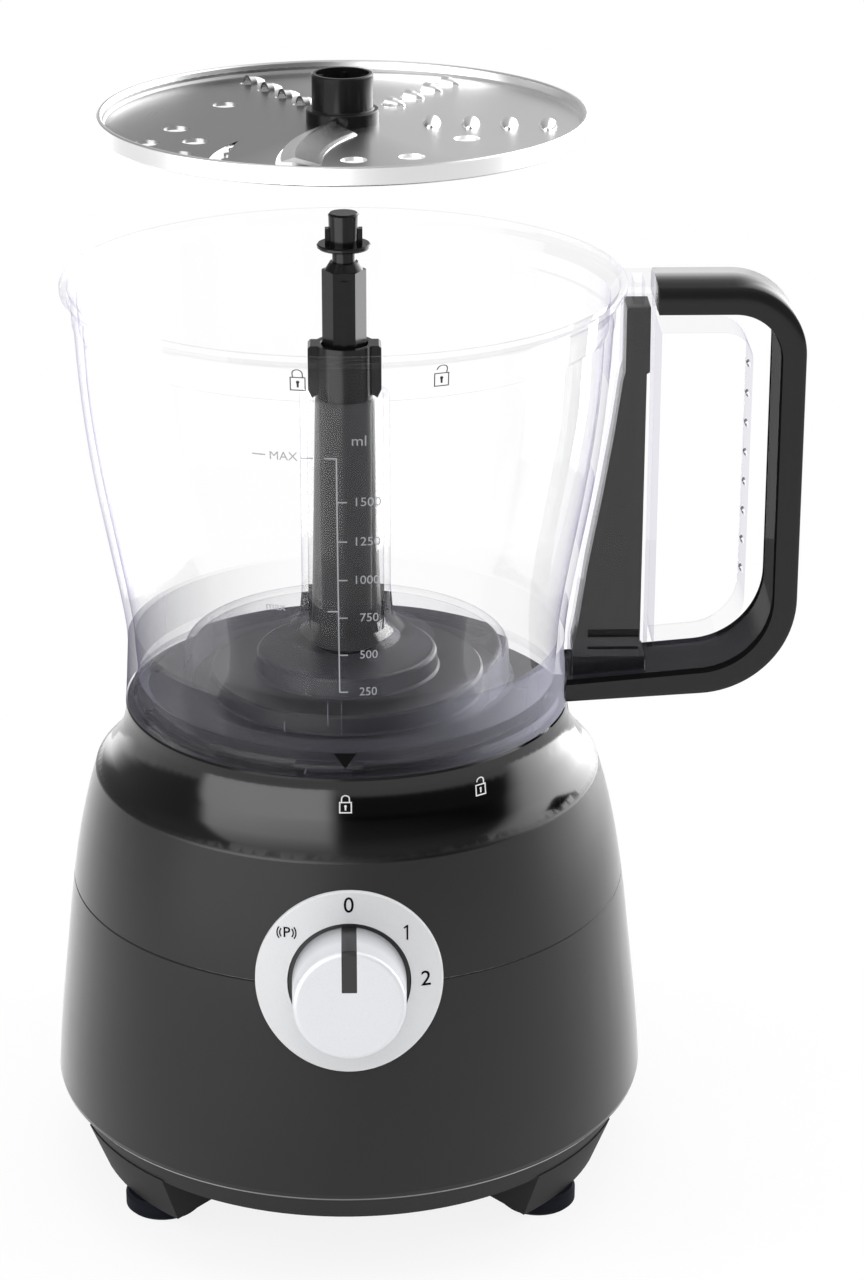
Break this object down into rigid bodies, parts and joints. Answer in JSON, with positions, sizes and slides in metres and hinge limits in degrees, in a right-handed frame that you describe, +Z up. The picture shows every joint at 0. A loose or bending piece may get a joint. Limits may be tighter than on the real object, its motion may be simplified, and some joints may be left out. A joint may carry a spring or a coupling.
{
  "type": "food processor",
  "caption": "Food processor: black motor base with a silver speed knob, clear handled bowl, drive column and a steel slicing and shredding disc lifted off its stem.",
  "frame": {"origin": "on the worktop, under the drive axis", "axes": "+Z up along the drive axis, -Y towards the speed knob, +X towards the bowl handle"},
  "size_m": [0.2501, 0.2208, 0.3798],
  "materials": {
    "satin_black": "satin moulded",
    "gloss_black": "polished moulded",
    "dark_grey": "semi-gloss moulded",
    "foot_rubber": "matt",
    "silver": "satin silver paint",
    "clear": "clear polished",
    "disc_steel": "polished sheet",
    "shaft_steel": "ground",
    "lamination": "stacked sheet",
    "copper": "enamelled wire",
    "cast_metal": "as cast",
    "carbon": "matt",
    "gear_nylon": "natural"
  },
  "bodies": {
    "base": {"lower_housing": "satin_black", "upper_housing": "satin_black", "top_cover": "gloss_black", "bottom_tray": "satin_black", "foot_front_left": "foot_rubber", "foot_front_right": "foot_rubber", "foot_rear_left": "foot_rubber", "foot_rear_right": "foot_rubber", "cord_gland": "foot_rubber", "dial_ring": "silver", "rotary_switch": "dark_grey", "gear_plate": "cast_metal", "output_bearing_low": "shaft_steel", "output_bearing_top": "shaft_steel", "shaft_seal": "foot_rubber", "motor_stator": "lamination", "field_coils": "copper", "motor_bracket_low": "cast_metal", "motor_bracket_top": "cast_metal", "motor_bearing_low": "shaft_steel", "motor_bearing_top": "shaft_steel", "brush_holders": "dark_grey", "carbon_brushes": "carbon", "motor_screws": "shaft_steel", "plate_screws": "shaft_steel", "tray_screws": "shaft_steel", "micro_switch": "dark_grey", "plunger_spring": "shaft_steel"},
    "rotor": {"motor_shaft": "shaft_steel", "motor_pinion": "shaft_steel", "armature": "lamination", "armature_windings": "copper", "commutator": "copper", "cooling_fan": "dark_grey"},
    "drive": {"output_gear": "gear_nylon", "output_shaft": "shaft_steel", "drive_column": "dark_grey", "drive_collar": "gloss_black", "disc_stem": "gloss_black"},
    "disc": {"disc_plate": "disc_steel", "slicing_blade": "disc_steel", "disc_hub": "gloss_black"},
    "bowl": {"bowl": "clear", "handle_cover": "gloss_black"},
    "slider": {"interlock_slider": "satin_black"},
    "plunger": {"interlock_plunger": "dark_grey"},
    "knob": {"knob": "silver", "knob_pointer": "gloss_black", "knob_shaft": "shaft_steel"}
  },
  "joints": [
    {"name": "rotor_spin", "type": "hinge", "parent": "base", "child": "rotor", "pos_m": [0, 0.042, 0.08], "axis": [0, 0, 1], "continuous": true},
    {"name": "drive_spin", "type": "hinge", "parent": "base", "child": "drive", "pos_m": [0, 0, 0.2], "axis": [0, 0, 1], "continuous": true},
    {"name": "disc_lift", "type": "slide", "parent": "drive", "child": "disc", "axis": [0, 0, 1], "range_m": [-0.0364, 0]},
    {"name": "bowl_turn", "type": "hinge", "parent": "base", "child": "bowl", "pos_m": [0, 0, 0.17], "axis": [0, 0, 1], "range_deg": [0, 34]},
    {"name": "slider_press", "type": "slide", "parent": "bowl", "child": "slider", "axis": [0, 0, -1], "range_m": [0, 0.004], "stiffness_N_per_m": 500, "springref_m": -0.003},
    {"name": "plunger_press", "type": "slide", "parent": "base", "child": "plunger", "axis": [0, 0, -1], "range_m": [0, 0.004], "stiffness_N_per_m": 200, "springref_m": -0.003, "deforming": ["plunger_spring"]},
    {"name": "knob_turn", "type": "hinge", "parent": "base", "child": "knob", "pos_m": [0, -0.0936, 0.1088], "axis": [0, 0.9925, -0.1219], "range_deg": [-52, 92]}
  ],
  "couplings": [
    {"joint": "drive_spin", "follows": "rotor_spin", "ratio": -0.16667},
    {"joint": "plunger_press", "follows": "slider_press", "ratio": 1}
  ]
}
